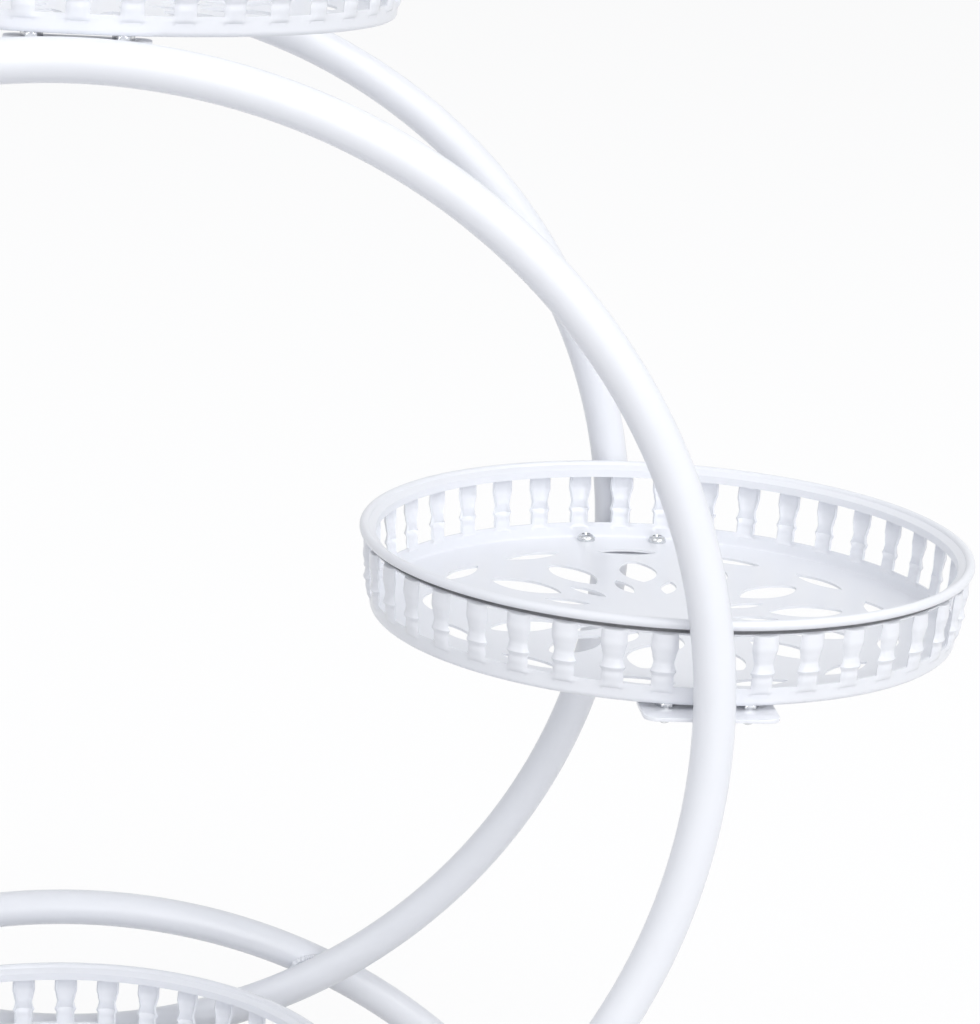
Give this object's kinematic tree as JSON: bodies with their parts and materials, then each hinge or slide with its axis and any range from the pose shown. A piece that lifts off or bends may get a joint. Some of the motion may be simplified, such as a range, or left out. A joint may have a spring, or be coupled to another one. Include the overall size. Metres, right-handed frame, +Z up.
{
  "type": "plant stand",
  "caption": "Plant stand of upright round tube hoops that carry perforated round trays at the top, bottom and both sides, on arched tube feet.",
  "frame": {"origin": "on the floor under the middle of the stand", "axes": "+Z up, +X to the right along the widest direction, Y from the front hoop to the rear hoop"},
  "size_m": [0.733, 0.319, 0.5422],
  "materials": {
    "white_paint": "gloss white powder coat",
    "plated_steel": "bright zinc or nickel plate",
    "foot_plastic": "matt pale plastic"
  },
  "bodies": {
    "root": {"front_hoop": "white_paint", "front_foot_arch": "white_paint", "front_arch_welds": "white_paint", "front_left_foot_cap": "foot_plastic", "front_right_foot_cap": "foot_plastic", "rear_hoop": "white_paint", "rear_foot_arch": "white_paint", "rear_arch_welds": "white_paint", "rear_left_foot_cap": "foot_plastic", "rear_right_foot_cap": "foot_plastic", "top_tray": "white_paint", "front_top_tab": "white_paint", "rear_top_tab": "white_paint", "top_tray_screws": "plated_steel", "top_spacer_nuts": "plated_steel", "top_cap_nuts": "plated_steel", "left_tray": "white_paint", "front_left_tab": "white_paint", "rear_left_tab": "white_paint", "left_tray_screws": "plated_steel", "left_spacer_nuts": "plated_steel", "left_cap_nuts": "plated_steel", "right_tray": "white_paint", "front_right_tab": "white_paint", "rear_right_tab": "white_paint", "right_tray_screws": "plated_steel", "right_spacer_nuts": "plated_steel", "right_cap_nuts": "plated_steel", "bottom_tray": "white_paint", "front_bottom_tab": "white_paint", "rear_bottom_tab": "white_paint", "bottom_tray_screws": "plated_steel", "bottom_spacer_nuts": "plated_steel", "bottom_cap_nuts": "plated_steel"}
  },
  "joints": []
}
